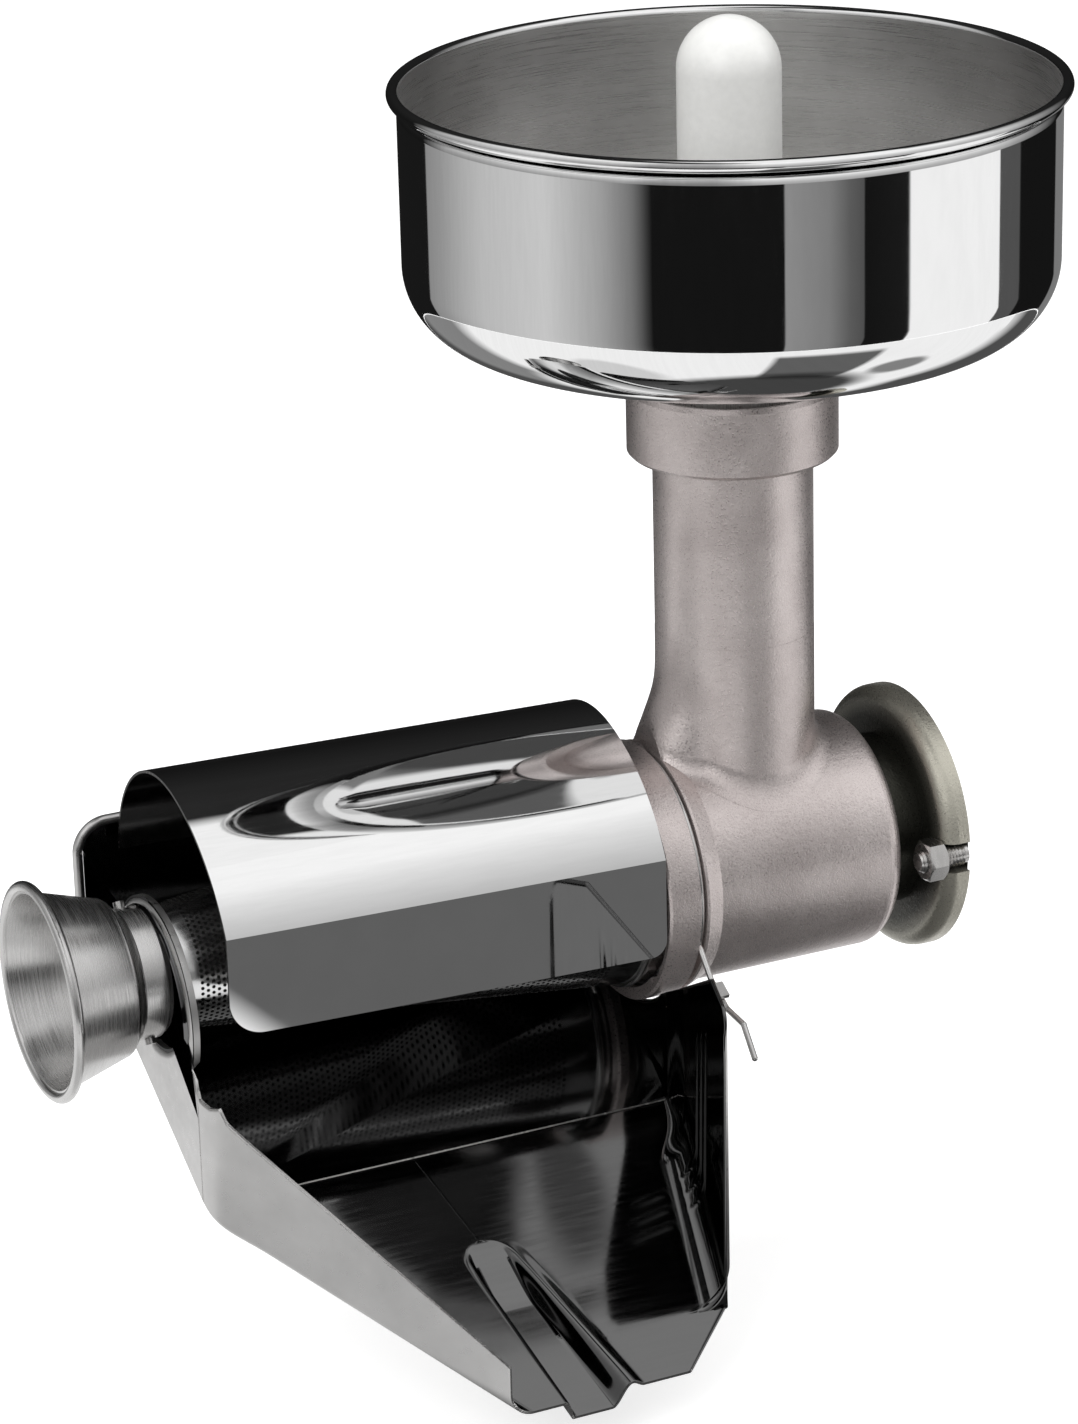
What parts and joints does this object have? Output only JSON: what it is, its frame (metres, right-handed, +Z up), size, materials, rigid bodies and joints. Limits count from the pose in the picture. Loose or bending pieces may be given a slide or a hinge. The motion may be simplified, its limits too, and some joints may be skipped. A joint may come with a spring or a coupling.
{
  "type": "screw-press food mill head",
  "caption": "Motor-driven screw food mill: cast body with a round hopper, perforated screen cone, scraps horn, juice chute and hinged splash shield.",
  "frame": {"origin": "centre of the motor flange's rear face, on the auger axis", "axes": "+X along the auger axis towards the motor, -X towards the scraps horn, -Y the way the juice runs, +Z up along the hopper's neck"},
  "size_m": [0.3679, 0.2377, 0.419],
  "materials": {
    "cast": "satin, grainy",
    "steel_hardware": "satin",
    "nut_zinc": "zinc plated",
    "bush_bronze": "turned",
    "washer_plastic": "matte",
    "seal_rubber": "matte",
    "shaft_steel": "turned",
    "auger_plastic": "matte",
    "screen_steel": "satin, perforated",
    "collar_steel": "turned",
    "horn_steel": "satin, pressed",
    "hopper_steel": "polished outside, brushed inside",
    "pestle_white": "matte",
    "chute_steel": "satin",
    "shield_steel": "polished",
    "wire_steel": "bright drawn"
  },
  "bodies": {
    "mill": {"body_casting": "cast", "tie_studs": "steel_hardware", "tie_nut_front": "nut_zinc", "tie_nut_rear": "nut_zinc", "shaft_bush": "bush_bronze", "thrust_washer": "washer_plastic", "shaft_seal": "seal_rubber"},
    "drive": {"drive_shaft": "shaft_steel", "auger": "auger_plastic"},
    "screen": {"screen_flange": "collar_steel", "screen_cone": "screen_steel", "screen_bead": "collar_steel", "tip_collar": "collar_steel"},
    "horn": {"scraps_horn": "horn_steel", "horn_wire_edge": "horn_steel"},
    "hopper": {"hopper_bowl": "hopper_steel", "hopper_spigot": "hopper_steel", "hopper_rim": "hopper_steel"},
    "pestle": {"pestle": "pestle_white", "pestle_stop": "pestle_white"},
    "chute": {"juice_chute": "chute_steel", "chute_hem": "chute_steel", "chute_ears": "chute_steel", "retaining_wire": "wire_steel"},
    "shield": {"splash_shield": "shield_steel", "shield_straps": "shield_steel"}
  },
  "joints": [
    {"name": "auger_spin", "type": "hinge", "parent": "mill", "child": "drive", "pos_m": [-0.024, 0, 0], "axis": [1, 0, 0], "continuous": true},
    {"name": "screen_twist", "type": "hinge", "parent": "mill", "child": "screen", "pos_m": [-0.111, 0, 0], "axis": [1, 0, 0], "range_deg": [0, 60]},
    {"name": "horn_twist", "type": "hinge", "parent": "screen", "child": "horn", "pos_m": [-0.288, 0, 0], "axis": [-1, 0, 0], "range_deg": [0, 24]},
    {"name": "hopper_lift", "type": "slide", "parent": "mill", "child": "hopper", "axis": [0, 0, 1], "range_m": [0, 0.04]},
    {"name": "pestle_lift", "type": "slide", "parent": "hopper", "child": "pestle", "axis": [0, 0, 1], "range_m": [0, 0.12]},
    {"name": "chute_swing", "type": "hinge", "parent": "mill", "child": "chute", "pos_m": [-0.111, 0, 0], "axis": [1, 0, 0], "range_deg": [-12, 12]},
    {"name": "shield_hinge", "type": "hinge", "parent": "chute", "child": "shield", "pos_m": [-0.19, 0.0605, 0.0297], "axis": [-1, 0, 0], "range_deg": [0, 70]}
  ]
}
